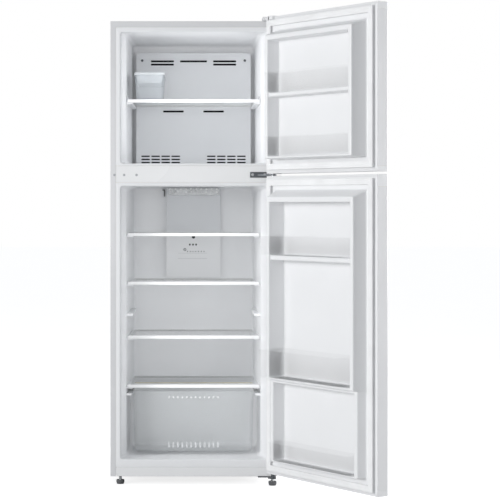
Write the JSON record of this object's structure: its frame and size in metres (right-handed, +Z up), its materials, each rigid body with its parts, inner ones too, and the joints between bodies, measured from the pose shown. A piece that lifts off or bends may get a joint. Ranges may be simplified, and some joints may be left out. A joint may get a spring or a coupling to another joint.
{
  "type": "top freezer refrigerator",
  "caption": "White upright refrigerator with a small freezer above a fridge compartment, both right-hinged doors standing open, with shelves, door bins and a crisper drawer.",
  "frame": {"origin": "on the floor at the middle of the footprint of the cabinet and its open doors", "axes": "+Z up, +Y from the cabinet's front to its back, +X to the right of a person facing it"},
  "size_m": [0.8654, 1.0092, 1.548],
  "materials": {
    "painted_steel": "satin white enamel",
    "galvanised_steel": "dull spangled zinc",
    "foam": "rigid polyurethane foam",
    "liner_plastic": "smooth moulded white",
    "trim_plastic": "smooth moulded white",
    "cover_plastic": "fine matt grey-white",
    "clear_plastic": "clear moulded polystyrene",
    "shelf_glass": "clear toughened glass",
    "gasket_rubber": "soft pale grey vinyl",
    "dark_plastic": "black moulded plastic",
    "hinge_steel": "dark grey plated",
    "black_enamel": "semi-gloss black",
    "aluminium": "mill finish",
    "copper": "bright drawn copper"
  },
  "bodies": {
    "root": {"outer_case": "painted_steel", "back_panel": "painted_steel", "base_frame": "galvanised_steel", "cabinet_foam": "foam", "freezer_liner": "liner_plastic", "fridge_liner": "liner_plastic", "mullion_cover": "trim_plastic", "front_rail": "trim_plastic", "freezer_air_cover": "cover_plastic", "evaporator_coil": "aluminium", "defrost_heater": "aluminium", "fan_motor": "dark_plastic", "duct_cover": "cover_plastic", "lamp_lens": "clear_plastic", "control_housing": "liner_plastic", "freezer_shelf": "clear_plastic", "freezer_shelf_trim": "trim_plastic", "glass_shelf_1": "shelf_glass", "shelf_trim_1": "trim_plastic", "glass_shelf_2": "shelf_glass", "shelf_trim_2": "trim_plastic", "glass_shelf_3": "shelf_glass", "shelf_trim_3": "trim_plastic", "crisper_cover": "shelf_glass", "crisper_cover_trim": "trim_plastic", "top_hinge": "hinge_steel", "top_hinge_cover": "trim_plastic", "middle_hinge": "hinge_steel", "lower_hinge": "hinge_steel", "compressor": "black_enamel", "drain_pan": "dark_plastic", "discharge_pipe": "copper", "suction_pipe": "copper", "cord_gland": "dark_plastic"},
    "freezer_door": {"freezer_door_skin": "painted_steel", "freezer_door_top_cap": "trim_plastic", "freezer_door_foot_cap": "trim_plastic", "freezer_door_liner": "liner_plastic", "freezer_door_foam": "foam", "freezer_door_gasket": "gasket_rubber", "freezer_bin_upper": "clear_plastic", "freezer_bin_lower": "clear_plastic"},
    "fridge_door": {"fridge_door_skin": "painted_steel", "fridge_door_top_cap": "trim_plastic", "fridge_door_foot_cap": "trim_plastic", "fridge_door_liner": "liner_plastic", "fridge_door_foam": "foam", "fridge_door_gasket": "gasket_rubber", "door_bin_upper": "clear_plastic", "door_bin_middle": "clear_plastic", "door_bin_lower": "clear_plastic"},
    "crisper_drawer": {"crisper_drawer": "clear_plastic"},
    "ice_bin": {"ice_bin": "clear_plastic"},
    "ice_tray": {"ice_tray": "trim_plastic"},
    "control_button": {"control_button": "dark_plastic"},
    "evaporator_fan": {"evaporator_fan": "cover_plastic"},
    "left_roller": {"left_roller": "dark_plastic"},
    "right_roller": {"right_roller": "dark_plastic"},
    "left_foot": {"left_foot": "dark_plastic"},
    "right_foot": {"right_foot": "dark_plastic"}
  },
  "joints": [
    {"name": "freezer_door_hinge", "type": "hinge", "parent": "root", "child": "freezer_door", "pos_m": [0.10456, -0.0546, 1.286], "axis": [0, 0, 1], "range_deg": [-125, 5]},
    {"name": "fridge_door_hinge", "type": "hinge", "parent": "root", "child": "fridge_door", "pos_m": [0.10456, -0.0546, 0.532], "axis": [0, 0, 1], "range_deg": [-125, 5]},
    {"name": "crisper_slide", "type": "slide", "parent": "root", "child": "crisper_drawer", "axis": [0, -1, 0], "range_m": [0, 0.16]},
    {"name": "ice_bin_slide", "type": "slide", "parent": "root", "child": "ice_bin", "axis": [0, -1, 0], "range_m": [0, 0.09]},
    {"name": "ice_tray_lift", "type": "slide", "parent": "ice_bin", "child": "ice_tray", "axis": [0, 0, 1], "range_m": [0, 0.05]},
    {"name": "control_button_press", "type": "slide", "parent": "root", "child": "control_button", "axis": [0, 1, 0], "range_m": [0, 0.0015], "stiffness_N_per_m": 400},
    {"name": "evaporator_fan_spin", "type": "hinge", "parent": "root", "child": "evaporator_fan", "pos_m": [-0.15774, 0.4176, 1.4], "axis": [0, 1, 0], "continuous": true},
    {"name": "left_roller_spin", "type": "hinge", "parent": "root", "child": "left_roller", "pos_m": [-0.39274, 0.4646, 0.014], "axis": [1, 0, 0], "continuous": true},
    {"name": "right_roller_spin", "type": "hinge", "parent": "root", "child": "right_roller", "pos_m": [0.07726, 0.4646, 0.014], "axis": [1, 0, 0], "continuous": true},
    {"name": "left_foot_turn", "type": "hinge", "parent": "root", "child": "left_foot", "pos_m": [-0.40074, -0.0004, 0], "axis": [0, 0, 1], "range_deg": [-360, 720]},
    {"name": "right_foot_turn", "type": "hinge", "parent": "root", "child": "right_foot", "pos_m": [0.10326, -0.0334, 0], "axis": [0, 0, 1], "range_deg": [-360, 720]}
  ]
}
